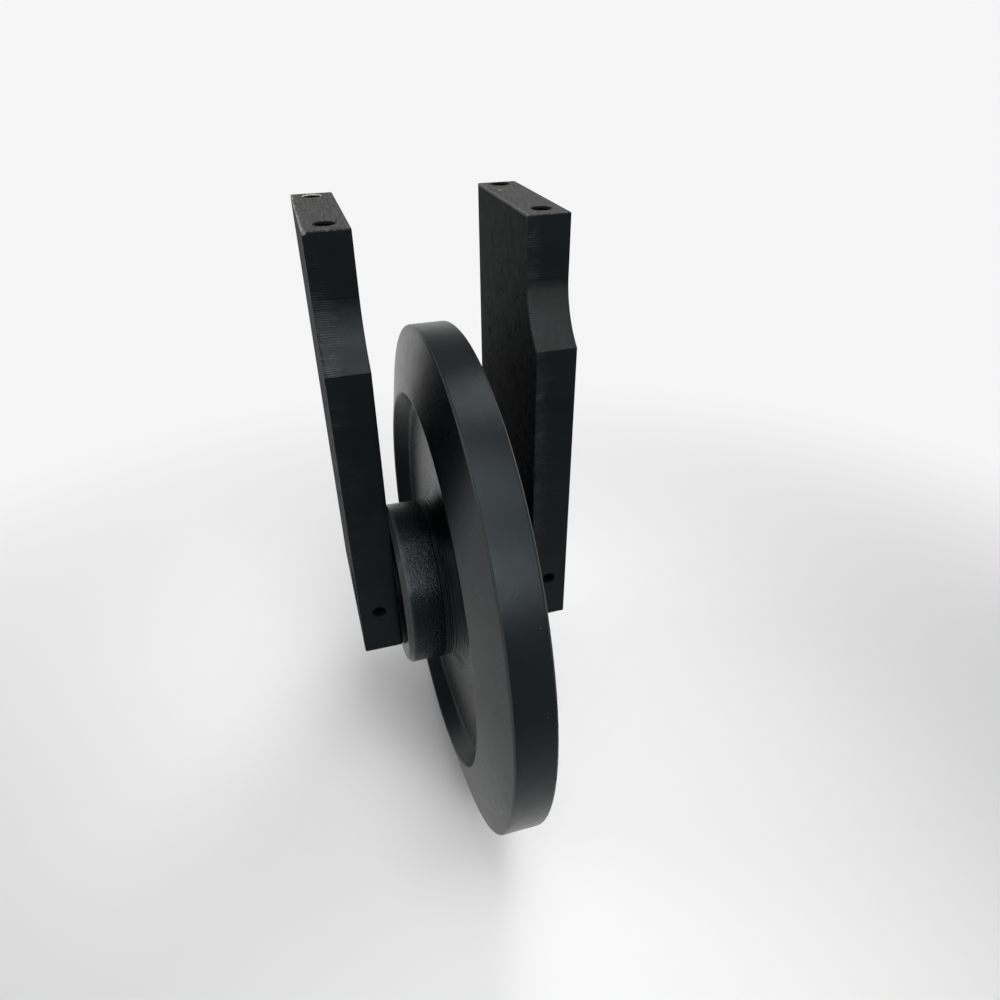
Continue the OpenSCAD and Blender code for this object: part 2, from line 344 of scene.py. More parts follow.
def bell(x):
    """Bell curve: one at none, falling off as the exponential of minus the square."""
    return np.exp(-x ** 2)


def smooth_noise(x, seed):
    """Random heights between -1 and 1 at whole numbers, joined by an S-shaped ramp."""
    heights = np.random.default_rng(seed).uniform(-1, 1, RANDOM_HEIGHTS)
    cell = np.floor(x).astype(int)
    t = s_curve(x - cell)
    return heights[cell % RANDOM_HEIGHTS] * (1 - t) + heights[(cell + 1) % RANDOM_HEIGHTS] * t


def rounded(corners, steps):
    """Closed outline through corners (a, b, radius): the circle that touches both sides of a corner
    takes its place, drawn as an arc between the two touching points, with few steps on a tiny circle."""
    at = np.array([c[:2] for c in corners], float)
    parts = []
    for p, before, after, corner in zip(at, np.roll(at, 1, 0), np.roll(at, -1, 0), corners):
        radius = corner[2]
        if radius == 0:
            parts.append(p[None])
            continue
        u = unit(before - p)
        w = unit(after - p)
        half = np.arccos(np.clip(u @ w, -1, 1)) / 2
        mid = p + unit(u + w) * radius / np.sin(half)
        start = p + u * radius / np.tan(half) - mid
        end = p + w * radius / np.tan(half) - mid
        turn = np.arctan2(start[0] * end[1] - start[1] * end[0], start @ end)
        count = steps if radius > TINY_ROUND else TINY_STEPS
        angle = np.arctan2(start[1], start[0]) + turn * np.linspace(0, 1, count + 1)
        parts.append(mid + radius * np.stack([np.cos(angle), np.sin(angle)], 1))
    return np.concatenate(parts)


def stepped(outline, step, snug):
    """Closed outline whose sides longer than their step are cut into equal parts, with one more point snug
    to each end of the side, so that the shading of a round stays on the round."""
    parts = []
    for p, q, longest in zip(outline, np.roll(outline, -1, 0), np.broadcast_to(step, len(outline))):
        length = np.linalg.norm(q - p)
        t = np.zeros(1)
        if length > longest:
            near = snug / length
            t = np.concatenate([t, np.linspace(near, 1 - near, int(np.ceil(length / longest)) + 1)])
        parts.append(p + (q - p) * t[:, None])
    return np.concatenate(parts)


def make_piece(name, points, faces, attributes=None):
    """Object from points and faces, turned outwards if its signed volume is negative."""
    faces = np.asarray(faces)
    a, b, c = (points[faces[:, i]] for i in range(3))
    volume = np.einsum("ij,ij->i", a, np.cross(b, c)).sum()
    if faces.shape[1] == 4:
        d = points[faces[:, 3]]
        volume += np.einsum("ij,ij->i", a, np.cross(c, d)).sum()
    if volume < 0:
        faces = faces[:, ::-1]
    mesh = bpy.data.meshes.new(name)
    mesh.from_pydata(points.tolist(), [], faces.tolist())
    for key, values in (attributes or {}).items():
        mesh.attributes.new(key, "FLOAT", "POINT").data.foreach_set("value", values.astype(np.float32))
    mesh.update()
    piece = bpy.data.objects.new(name, mesh)
    bpy.context.scene.collection.objects.link(piece)
    return piece


def grid_faces(rows, cols):
    """Quads of a grid that closes on itself both ways."""
    i, j = np.meshgrid(np.arange(rows), np.arange(cols), indexing="ij")
    i_next = (i + 1) % rows
    j_next = (j + 1) % cols
    corners = [i * cols + j, i_next * cols + j, i_next * cols + j_next, i * cols + j_next]
    return np.stack(corners, -1).reshape(-1, 4)


def shade(piece, sharp_angle=35):
    """Smooth shading, with edges sharper than the angle left crisp."""
    mesh = piece.data
    mesh.polygons.foreach_set("use_smooth", np.ones(len(mesh.polygons), bool))
    mesh.set_sharp_from_angle(angle=np.radians(sharp_angle))
    mesh.update()


def rod_cutter(name, radii, along, place, marks=None):
    """Closed rod for cutting: a ring of points for each place along its axis, radius given per ring and
    angle, and a fan from a middle point at both ends. place turns it into position. marks are values per
    ring that the cut surface keeps."""
    rings, turns = radii.shape
    angle = np.linspace(0, 2 * np.pi, turns, endpoint=False)
    depth = np.broadcast_to(along[:, None], radii.shape)
    wall = np.stack([radii * np.cos(angle), radii * np.sin(angle), depth], -1).reshape(-1, 3)
    ends = np.array([[0, 0, along[0]], [0, 0, along[-1]]])
    points = np.concatenate([wall, ends])
    i, j = np.meshgrid(np.arange(rings - 1), np.arange(turns), indexing="ij")
    j_next = (j + 1) % turns
    low = np.stack([i * turns + j, i * turns + j_next, (i + 1) * turns + j_next], -1).reshape(-1, 3)
    high = np.stack([i * turns + j, (i + 1) * turns + j_next, (i + 1) * turns + j], -1).reshape(-1, 3)
    k = np.arange(turns)
    k_next = (k + 1) % turns
    first = np.stack([np.full(turns, rings * turns), k_next, k], -1)
    last_ring = (rings - 1) * turns
    last = np.stack([np.full(turns, rings * turns + 1), last_ring + k, last_ring + k_next], -1)
    attributes = {}
    for key, value in (marks or {}).items():
        attributes[key] = np.append(np.repeat(value, turns), value[[0, -1]])
    faces = np.concatenate([low, high, first, last])
    rotation, centre = place
    return make_piece(name, points @ np.asarray(rotation).T + centre, faces, attributes)


def cut_away(piece, cutters):
    """The piece less its cutters, kept as a plain mesh."""
    for cutter in cutters:
        modifier = piece.modifiers.new(cutter.name, "BOOLEAN")
        modifier.operation = "DIFFERENCE"
        modifier.solver = "MANIFOLD"
        modifier.object = cutter
    bpy.context.view_layer.update()
    depsgraph = bpy.context.evaluated_depsgraph_get()
    mesh = bpy.data.meshes.new_from_object(
        piece.evaluated_get(depsgraph), preserve_all_data_layers=True, depsgraph=depsgraph
    )
    piece.modifiers.clear()
    mesh.materials.clear()
    piece.data = mesh
    for cutter in cutters:
        bpy.data.objects.remove(cutter)


def wheel_corners(side):
    """Half of the wheel's section, from the tread to the oil chamber, as (radius, place, rounding). A
    narrow groove runs where the recess's foot meets the web, and the turned foot of the hub lies a little
    below the hub's rough skin."""
    groove_floor = WEB_T / 2 - FOOT_GROOVE_DEPTH
    half = [
        (WHEEL_R, TREAD_W / 2, EDGE_ROUND),
        (RECESS_R, FLANGE_W / 2, EDGE_ROUND),
        (RECESS_FOOT_R, WEB_T / 2, RECESS_FILLET),
        (FOOT_GROOVE_R, WEB_T / 2, GROOVE_LIP_ROUND),
        (FOOT_GROOVE_R - FOOT_GROOVE_W / 4, groove_floor, GROOVE_FLOOR_ROUND),
        (FOOT_GROOVE_R - FOOT_GROOVE_W * 3 / 4, groove_floor, GROOVE_FLOOR_ROUND),
        (FOOT_GROOVE_R - FOOT_GROOVE_W, WEB_T / 2, GROOVE_LIP_ROUND),
        (HUB_R - HUB_STEP, WEB_T / 2, HUB_FILLET),
        (HUB_R - HUB_STEP, HUB_STEP_PLACE, SMALL_ROUND),
        (HUB_R, HUB_STEP_PLACE + HUB_STEP, SMALL_ROUND),
        (HUB_R, HUB_END - HUB_CHAMFER, HUB_ROUND),
        (HUB_R - HUB_CHAMFER, HUB_END, HUB_ROUND),
        (NEST_R, HUB_END, SMALL_ROUND),
        (NEST_R, NEST_FLOOR, 0),
        (POCKET_R, NEST_FLOOR, 0),
        (POCKET_R, POCKET_FLOOR, 0),
        (BUSH_RIM_R, POCKET_FLOOR, 0),
        (BUSH_RIM_R, POCKET_FLOOR - BUSH_RIM_T, 0),
        (BUSH_SEAT_R, POCKET_FLOOR - BUSH_RIM_T, 0),
        (BUSH_SEAT_R, CHAMBER_HALF, 0),
        (CHAMBER_R, CHAMBER_HALF, 0),
    ]
    return [(r, side * y, rounding) for r, y, rounding in half]


def wheel_zones(r, out):
    """Zones of the wheel's skin from none to one, by radius and way out along the axle. Edge is a bell
    curve around the rounds of the tread, flanks and hub, where thin paint and a painted highlight go, cast
    rises in a straight line towards the hub, foot is the turned round beside the hub's skin and web the
    recess's ground, which takes dust with painted sheen, both with S-shaped ends."""
    edges = np.array([
        (WHEEL_R, TREAD_W / 2),
        (RECESS_R, FLANGE_W / 2),
        (HUB_R, HUB_END - HUB_CHAMFER),
        (HUB_R - HUB_CHAMFER, HUB_END),
    ])
    away = np.hypot(r[:, None] - edges[:, 0], out[:, None] - edges[:, 1]).min(1)
    return {
        "edge": bell(away / EDGE_FADE),
        "cast": np.clip((RECESS_R - r) / CAST_FADE, 0, 1),
        "foot": (1 - s_curve((r - HUB_R - HUB_FILLET) / FOOT_FADE)) * (out < HUB_STEP_PLACE),
        "web": s_curve((r - HUB_R) / WEB_FADE) * s_curve((FOOT_GROOVE_R - r) / GROOVE_FADE),
    }


def hub_skin(r, out, angle):
    """How rough the hub's skin is, from none to one: one between the step and the chamfer, with S-shaped
    ends, less a bell curve around the turn where it is worn smooth."""
    rough = s_curve((out - HUB_STEP_PLACE) / HUB_STEP) * s_curve((HUB_END - HUB_CHAMFER - out) / SKIN_FADE)
    rough = rough * (r < HUB_R + HUB_STEP)
    turn = np.degrees((angle + np.pi) % (2 * np.pi) - np.pi)
    return rough * (1 - WORN_SHARE * bell((turn - WORN_TURN) / WORN_SPREAD))


def make_wheel():
    """The wheel's closed section carried round the axle: (r cos a, y, r sin a), less the oil hole and the
    nicks."""
    outline = rounded(wheel_corners(1) + wheel_corners(-1)[::-1], ROUND_STEPS)
    middle_r = (outline[:, 0] + np.roll(outline[:, 0], -1)) / 2
    step = np.select([middle_r > RECESS_R, middle_r > NEST_R], [FLANK_STEP, WEB_STEP], WHEEL_R)
    r, y = stepped(outline, step, WHEEL_SNUG).T
    angle = np.linspace(0, 2 * np.pi, WHEEL_TURNS, endpoint=False)[:, None]
    along_axle = np.broadcast_to(y, (WHEEL_TURNS, len(y)))
    points = np.stack([r * np.cos(angle), along_axle, r * np.sin(angle)], -1)
    zones = wheel_zones(r, np.abs(y))
    attributes = {key: np.tile(zone, WHEEL_TURNS) for key, zone in zones.items()}
    attributes["rough"] = hub_skin(r, np.abs(y), angle).ravel()
    wheel = make_piece("wheel_skin", points.reshape(-1, 3), grid_faces(WHEEL_TURNS, len(y)), attributes)
    cut_away(wheel, [oil_hole_cutter()] + [nick_cutter(turn, size) for turn, size in NICKS])
    shade(wheel)
    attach(wheel, "wheel")
    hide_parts("idler_wheel")
    return wheel


def oil_hole_cutter():
    """Plain rod through the plug's middle, leaning along the line from there to the oil chamber, from just
    below the plug to well outside the hub."""
    middle = (plug_low + plug_high) / 2
    lean = np.arctan2(middle.y - CHAMBER_HALF / 2, middle.z - CHAMBER_R)
    place = (np.array(Matrix.Rotation(-lean, 3, "X")), np.array(middle))
    along = np.array([OIL_CUTTER_IN, OIL_CUTTER_OUT])
    return rod_cutter("oil_hole", np.full((2, HOLE_TURNS), OIL_HOLE_R), along, place)


def nick_cutter(turn, size):
    """Short round rod across the tread's right edge at a turn in degrees. Its middle lies on the edge's
    round, so it bites its own radius deep."""
    angle = np.radians(turn)
    out = np.array([np.cos(angle), 0, np.sin(angle)])
    axle = np.array([0, 1, 0])
    outward = unit(out + axle)
    across = unit(axle - out)
    rotation = np.stack([np.cross(outward, across), outward, across], 1)
    middle = out * (WHEEL_R - NICK_DRAWN_IN) + axle * (TREAD_W / 2 - NICK_DRAWN_IN)
    along = np.array([-NICK_REACH, NICK_REACH]) * size
    return rod_cutter("nick", np.full((2, NICK_TURNS), size), along, (rotation, middle), {"nick": np.ones(2)})


def plate_outline():
    """Outline of a side plate in the wheel's plane: a rectangle whose front edge steps back through a
    round hollow, with lightly rounded corners and finer steps along the front."""
    sweep = np.arccos(1 - STEP_DEPTH / STEP_RADIUS)
    angle = np.pi + sweep * np.linspace(1, 0, HOLLOW_POINTS)
    hollow_x = UPPER_FRONT + STEP_RADIUS + STEP_RADIUS * np.cos(angle)
    hollow_z = STEP_TOP + STEP_RADIUS * np.sin(angle)
    corners = [(PLATE_BACK, PLATE_BOTTOM, PLATE_CORNER), (PLATE_FRONT, PLATE_BOTTOM, PLATE_CORNER)]
    corners += [(hollow_x[0], hollow_z[0], HOLLOW_LIP)]
    corners += [(x, z, 0) for x, z in zip(hollow_x[1:], hollow_z[1:])]
    corners += [(UPPER_FRONT, PLATE_TOP, PLATE_CORNER), (PLATE_BACK, PLATE_TOP, PLATE_CORNER)]
    outline = rounded(corners, CORNER_STEPS)
    middle = (outline + np.roll(outline, -1, 0)) / 2
    step = np.where(middle[:, 0] > UPPER_FRONT - NEAR_EDGE, FRONT_STEP, OTHER_STEP)
    step = np.where(middle[:, 1] > PLATE_TOP - NEAR_EDGE, TOP_STEP, step)
    return stepped(outline, step, PLATE_SNUG)


def plate_section():
    """The plate's own section as three rows of numbers: the place across the plate, how far a small round
    draws the point in, and how far it lies on the way from the cut edge to the axle's bore."""
    half = PLATE_T / 2
    crowded = np.linspace(0, 1, CUT_ROWS) ** CUT_ROWS_CROWD
    flat = -half + BURR_ROUND + (PLATE_T - 2 * BURR_ROUND) * crowded
    bend = np.linspace(0, np.pi / 2, BEND_STEPS)[1:]
    bent = half - BURR_ROUND + BURR_ROUND * np.sin(bend)
    drawn = BURR_ROUND * (1 - np.cos(bend))
    reach = np.array(FACE_ROWS)
    face = np.full(len(reach), half)
    across = np.concatenate([flat, bent, face, -face, -bent[::-1]])
    inset = np.concatenate([np.zeros(len(flat)), drawn, np.full(2 * len(reach), BURR_ROUND), drawn[::-1]])
    inward = np.concatenate([np.zeros(len(flat) + len(bent)), reach, reach[::-1], np.zeros(len(bent))])
    return across, inset, inward


def flame_marks(run, lines, across, restart, length):
    """Depth of the flame's marks on a cut edge: arched drag lines, each with its own depth and length, strong
    on the side where the flame left the plate, a slow swell along the cut, a ragged rim on that side and a
    step where the cut starts again. lines counts the drag lines along the outline, and length is their share
    of the plate's thickness. The second and third results are how far a point is a line's crest, and how
    far it is in a groove or a notch."""
    share = (across / PLATE_T + 0.5)[None]
    along = run[:, None]
    wander = DRAG_WANDER * smooth_noise(along / WANDER_LENGTH, WANDER_SEED)
    drag = lines[:, None] + DRAG_ARCH * share ** 2 + wander
    wave = np.abs(np.sin(np.pi * drag))
    reach = length * (1 + LENGTH_SPREAD * smooth_noise(drag, LENGTH_SEED))
    strength = DRAG_FAINTEST + (1 - DRAG_FAINTEST) * (1 - s_curve((share - DRAG_START) / reach))
    strength = strength * (DEPTH_MEAN + DEPTH_SPREAD * smooth_noise(drag, DEPTH_SEED))
    strength = strength * (DEPTH_MEAN + PATCH_SPREAD * smooth_noise(along / PATCH_LENGTH, PATCH_SEED))
    notches = np.clip(smooth_noise(along / RAGGED_LENGTH, RAGGED_SEED) - RAGGED_LEVEL, 0, 1)
    ragged = notches * (1 - s_curve(share / RAGGED_SHARE))
    marks = DRAG_DEPTH * (wave - WAVE_MEAN) * strength
    marks = marks + SWELL_DEPTH * smooth_noise(along / SWELL_LENGTH, SWELL_SEED)
    marks = marks - RAGGED_DEPTH * ragged - RESTART_DEPTH * restart[:, None]
    groove = np.clip(1 - GROOVE_SHARPNESS * wave, 0, 1) * strength
    return marks, wave ** 3 * strength, np.maximum(groove, ragged)


def make_plate(side, name, node):
    """A side plate as a closed band: the outline carried round the plate's own section, which goes across
    the cut edge, over a small round, along one face to the axle's bore, through the bore and back. The
    flame's marks push the cut edge in and out along the outline's normal."""
    look = PLATE_LOOKS[side]
    outline = plate_outline()
    across, inset, inward = plate_section()
    ahead = np.roll(outline, -1, 0)
    behind = np.roll(outline, 1, 0)
    tangent = (ahead - behind) / np.linalg.norm(ahead - behind, axis=1)[:, None]
    normal = np.stack([tangent[:, 1], -tangent[:, 0]], 1)
    run = np.concatenate([[0], np.cumsum(np.linalg.norm(np.diff(outline, axis=0), axis=1))])
    bore = AXLE_BORE_R * outline / np.linalg.norm(outline, axis=1)[:, None]
    x, z = outline.T
    pitch = np.where(x > UPPER_FRONT - NEAR_FRONT, FRONT_PITCH, OTHER_PITCH)
    lines = np.concatenate([[0], np.cumsum(np.diff(run) / pitch[1:])])
    milled = (z > PLATE_TOP - NEAR_TOP).astype(float)
    in_hollow = (x > UPPER_FRONT - NEAR_HOLLOW) & (z > STEP_HEIGHT) & (z < STEP_TOP)
    down = STEP_TOP - z
    restart = in_hollow * s_curve(down / RESTART_RAMP) * np.clip(1 - down / STEP_RISE, 0, 1)
    restart = restart * look["restart"]
    # Dust with painted sheen in the hollow, fading in below its top
    dust_and_sheen_share = in_hollow * s_curve(down / DUST_AND_SHEEN_RAMP) * look["dust_and_sheen"]
    # Strength of the painted highlight on the drag lines' crests
    lit_crest = np.where(in_hollow, look["hollow_crest"], look["other_crest_highlight"])

    # Points of the band
    on_edge = (inward == 0) * (1 - inset / inset.max())
    marks, crest, groove = flame_marks(run, lines, across, restart, look["drag"])
    shift = marks * (1 - milled)[:, None] * on_edge[None] - inset[None]
    rim = outline[:, None] + normal[:, None] * shift[..., None]
    flat_points = rim * (1 - inward)[None, :, None] + bore[:, None] * inward[None, :, None]
    y = np.broadcast_to(side * PLATE_MID + across, flat_points.shape[:2])
    points = np.stack([flat_points[..., 0], y, flat_points[..., 1]], -1)

    # Values on the points, from none to one
    to_bore = np.abs(np.einsum("ij,ij->i", bore - outline, normal))
    to_face = np.where(inward == 0, PLATE_T / 2 - np.abs(across), 0)
    away = inward[None] * to_bore[:, None] + to_face[None]
    earlier = np.roll(tangent, 2, 0)
    later = np.roll(tangent, -2, 0)
    bends = np.abs(earlier[:, 0] * later[:, 1] - earlier[:, 1] * later[:, 0]) > CORNER_BEND
    to_corner = np.abs(run[:, None] - run[bends][None]).min(1)[:, None]
    wall = np.broadcast_to((inward == 0).astype(float), away.shape)
    edge = np.maximum(np.exp(-away / EDGE_WEAR), np.exp(-to_corner / CORNER_WEAR) * wall)
    worn_width = (RIM_WEAR + RIM_SPREAD * smooth_noise(run / RIM_LENGTH, RIM_SEED))[:, None]
    worn = bell((across + PLATE_T / 2)[None] / worn_width) * milled[:, None]
    attributes = {
        "edge": edge,
        "flame_cut": wall * (1 - milled)[:, None],
        "milled": wall * milled[:, None],
        # Dust with painted sheen in the hollow, painted shade in the grooves, painted highlight on the crests
        "hollow": wall * dust_and_sheen_share[:, None],
        "groove": groove * wall * (1 - milled)[:, None],
        "crest": crest * wall * (lit_crest * (1 - milled))[:, None],
        "bare": wall * worn * look["bare"],
    }
    attributes = {key: values.ravel() for key, values in attributes.items()}
    rows, cols = points.shape[:2]
    plate = make_piece(name, points.reshape(-1, 3), grid_faces(rows, cols), attributes)
    holes = [bolt_cutter(bolt_x, side) for bolt_x in BOLT_XS]
    cut_away(plate, holes + [pin_cutter(side)])
    shade(plate)
    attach(plate, "side_frame")
    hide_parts(node)
    return plate


def bolt_cutter(bolt_x, side):
    """Tapped hole: the radius goes from the core to the thread's crest and back once per pitch, along a
    screw line, and opens to a short plain mouth. On the left plate's rear hole the mouth is a bare cone."""
    along = np.arange(-BOLT_DEPTH, BOLT_CUTTER_OUT, BOLT_PITCH / THREAD_STEPS)
    angle = np.linspace(0, 1, HOLE_TURNS, endpoint=False)
    turn = (along[:, None] / BOLT_PITCH - angle[None]) % 1
    crest = np.clip(THREAD_SLOPE * (1 - 2 * np.abs(turn - 0.5)) - THREAD_ROOT, 0, 1)
    thread = BOLT_CORE_R + (BOLT_THREAD_R - BOLT_CORE_R) * crest
    is_bare = side < 0 and bolt_x == min(BOLT_XS)
    cone = BOLT_CORE_R + BARE_CONE + along
    plain = np.where(along > -MOUTH_DEPTH, BOLT_CORE_R + MOUTH_WIDER, 0)
    radii = np.maximum(thread, (cone if is_bare else plain)[:, None])
    marks = {
        "bare": (along > -BARE_DEPTH) * float(is_bare),
        # Painted shade deeper in the hole, below its mouth
        "deep": s_curve((-SHADE_FROM - along) / SHADE_RAMP),
    }
    place = (np.eye(3), np.array([bolt_x, side * PLATE_MID, PLATE_TOP]))
    return rod_cutter("bolt_hole", radii, along, place, marks)


def pin_cutter(side):
    """Plain hole across the plate and the axle's bore, a little broken at its mouth."""
    along = np.array([PIN_HOLE_END, PLATE_FRONT - PIN_MOUTH_DEPTH, PLATE_FRONT + PIN_CUTTER_OUT])
    ring_r = np.array([PIN_HOLE_R, PIN_HOLE_R, PIN_HOLE_R + PIN_MOUTH_WIDER])
    radii = np.repeat(ring_r[:, None], PIN_TURNS, 1)
    place = (np.array(Matrix.Rotation(np.pi / 2, 3, "Y")), np.array([0, side * PLATE_MID, 0]))
    return rod_cutter("pin_hole", radii, along, place)


def put(tree, kind, inputs=None, **settings):
    """A shader node with its settings, each input set to a value or joined to another node's output."""
    node = tree.nodes.new("ShaderNode" + kind)
    for key, value in settings.items():
        setattr(node, key, value)
    for key, value in (inputs or {}).items():
        socket = node.inputs[key]
        if isinstance(value, bpy.types.NodeSocket):
            tree.links.new(value, socket)
        else:
            socket.default_value = value
    return node


def new_finish(name):
    """An empty material: its tree, its shader and the object coordinates."""
    material = bpy.data.materials.new(name)
    material.use_nodes = True
    tree = material.node_tree
    shader = tree.nodes["Principled BSDF"]
    place = put(tree, "TexCoord").outputs["Object"]
    return material, tree, shader, place


def noise(tree, place, size, detail=3.0, rough=0.55):
    """Grain whose features are about size metres across."""
    inputs = {"Vector": place, "Scale": 1 / size, "Detail": detail, "Roughness": rough}
    return put(tree, "TexNoise", inputs).outputs["Fac"]


def turned_lines(tree, reach, size, detail):
    """Grain along one value, about size metres to a feature, which runs as lines round the axle."""
    inputs = {"W": reach, "Scale": 1 / size, "Detail": detail}
    return put(tree, "TexNoise", inputs, noise_dimensions="1D").outputs["Fac"]


def ramp(tree, value, low, high, to_low=0.0, to_high=1.0):
    """Value between low and high, spread from to_low to to_high."""
    inputs = {"Value": value, "From Min": low, "From Max": high, "To Min": to_low, "To Max": to_high}
    return put(tree, "MapRange", inputs).outputs["Result"]


def soft_ramp(tree, value, low, high, to_low=0.0, to_high=1.0):
    """Value between low and high, spread from to_low to to_high with level ends."""
    inputs = {"Value": value, "From Min": low, "From Max": high, "To Min": to_low, "To Max": to_high}
    return put(tree, "MapRange", inputs, interpolation_type="SMOOTHSTEP").outputs["Result"]


def math(tree, operation, a, b=0.0):
    """Arithmetic on two values."""
    return put(tree, "Math", {0: a, 1: b}, operation=operation).outputs[0]


def times(tree, a, b):
    """Product of two values."""
    return math(tree, "MULTIPLY", a, b)


def plus(tree, a, b):
    """Sum of two values."""
    return math(tree, "ADD", a, b)


def stretched(tree, place, scale):
    """The place with each axis scaled, so that grain on it is drawn out along the smaller ones."""
    return put(tree, "Mapping", {"Vector": place, "Scale": scale}).outputs[0]


def blend_colours(tree, share, below, above):
    """Two colours mixed by a share between none and one."""
    node = put(tree, "Mix", {"Factor": share}, data_type="RGBA")
    for socket, colour in ((node.inputs[6], below), (node.inputs[7], above)):
        if isinstance(colour, bpy.types.NodeSocket):
            tree.links.new(colour, socket)
        else:
            socket.default_value = (*colour, 1)
    return node.outputs[2]


def attribute(tree, name):
    """A value stored on the piece's own points."""
    return put(tree, "Attribute", attribute_name=name).outputs["Fac"]


def bump(tree, height, depth, under=None):
    """Surface relief of the given depth in metres, on top of any relief below it."""
    inputs = {"Height": height, "Distance": depth, "Strength": 1.0}
    if under is not None:
        inputs["Normal"] = under
    return put(tree, "Bump", inputs).outputs["Normal"]


def radius_and_place(tree, place):
    """Distance from the axle less the way out along it: a value that is even along every turned line."""
    xyz = put(tree, "SeparateXYZ", {"Vector": place})
    flat = put(tree, "CombineXYZ", {"X": xyz.outputs["X"], "Z": xyz.outputs["Z"]}).outputs[0]
    radius = put(tree, "VectorMath", {0: flat}, operation="LENGTH").outputs["Value"]
    return math(tree, "SUBTRACT", radius, math(tree, "ABSOLUTE", xyz.outputs["Y"]))


def wheel_paint():
    """Satin black paint over turned steel: faint turning lines, orange peel, coarse grain and broad tool
    marks on the hub, deeper marks on its turned foot, dust with painted sheen on the recess's ground, thin
    paint with a painted highlight on the edges, a few small chips and dull black nicks."""
    material, tree, shader, place = new_finish("wheel_paint")
    reach = radius_and_place(tree, place)
    rough = attribute(tree, "rough")
    edge = attribute(tree, "edge")
    nick = attribute(tree, "nick")
    turned = turned_lines(tree, reach, size=0.7 * MM, detail=2.0)
    tool_marks = turned_lines(tree, reach, size=2.6 * MM, detail=2.0)
    foot_marks = turned_lines(tree, reach, size=1.5 * MM, detail=1.0)
    peel = noise(tree, place, size=1.5 * MM, detail=2.0)
    grain = ramp(tree, noise(tree, place, size=1.3 * MM, detail=2.0, rough=0.6), 0.32, 0.68)
    cast = ramp(tree, attribute(tree, "cast"), 0.7, 1.0)
    relief = bump(tree, turned, depth=0.01 * MM)
    relief = bump(tree, peel, depth=0.03 * MM, under=relief)
    relief = bump(tree, times(tree, tool_marks, cast), depth=0.08 * MM, under=relief)
    relief = bump(tree, times(tree, foot_marks, attribute(tree, "foot")), depth=0.5 * MM, under=relief)
    relief = bump(tree, times(tree, grain, rough), depth=0.1 * MM, under=relief)
    tree.links.new(relief, shader.inputs["Normal"])

    cloud = ramp(tree, noise(tree, place, size=45 * MM, detail=4.0), 0.35, 0.7)
    paint = blend_colours(tree, cloud, WHEEL_DARK, WHEEL_LIGHT)
    # Dust with painted sheen on the recess's ground, streaked along the turning marks
    dust_and_sheen = times(tree, attribute(tree, "web"), ramp(tree, foot_marks, 0.3, 0.7, to_low=0.4))
    paint = blend_colours(tree, dust_and_sheen, paint, WEB_DUST_AND_SHEEN)
    # Thin paint with a painted highlight along the rounded edges
    paint = blend_colours(tree, ramp(tree, edge, 0.3, 1.0, to_high=0.6), paint, THIN_EDGE_AND_HIGHLIGHT)
    fleck = noise(tree, place, size=2.2 * MM, detail=4.0, rough=0.7)
    rubbed = ramp(tree, times(tree, edge, fleck), 0.56, 0.7)
    paint = blend_colours(tree, rubbed, paint, WHEEL_RUBBED)
    chip = put(tree, "TexVoronoi", {"Vector": place, "Scale": 1 / CHIP_SPACING}).outputs["Distance"]
    paint = blend_colours(tree, ramp(tree, chip, 0.04, 0.025), paint, CHIP_GREY)
    paint = blend_colours(tree, nick, paint, NICK_BLACK)
    tree.links.new(paint, shader.inputs["Base Color"])

    gloss = ramp(tree, noise(tree, place, size=9 * MM, detail=5.0), 0.3, 0.7, to_low=0.265, to_high=0.322)
    gloss = plus(tree, gloss, times(tree, nick, NICK_DULL))
    fine = noise(tree, place, size=1.05 * MM, detail=1.0)
    sparkle = ramp(tree, fine, 0.42, 0.6, to_low=-0.16, to_high=0.14)
    gloss = plus(tree, gloss, times(tree, sparkle, rough))
    tree.links.new(gloss, shader.inputs["Roughness"])
    shader.inputs["Specular IOR Level"].default_value = WHEEL_SHINE
    shader.inputs["Specular Tint"].default_value = BLUE_SHINE
    return material


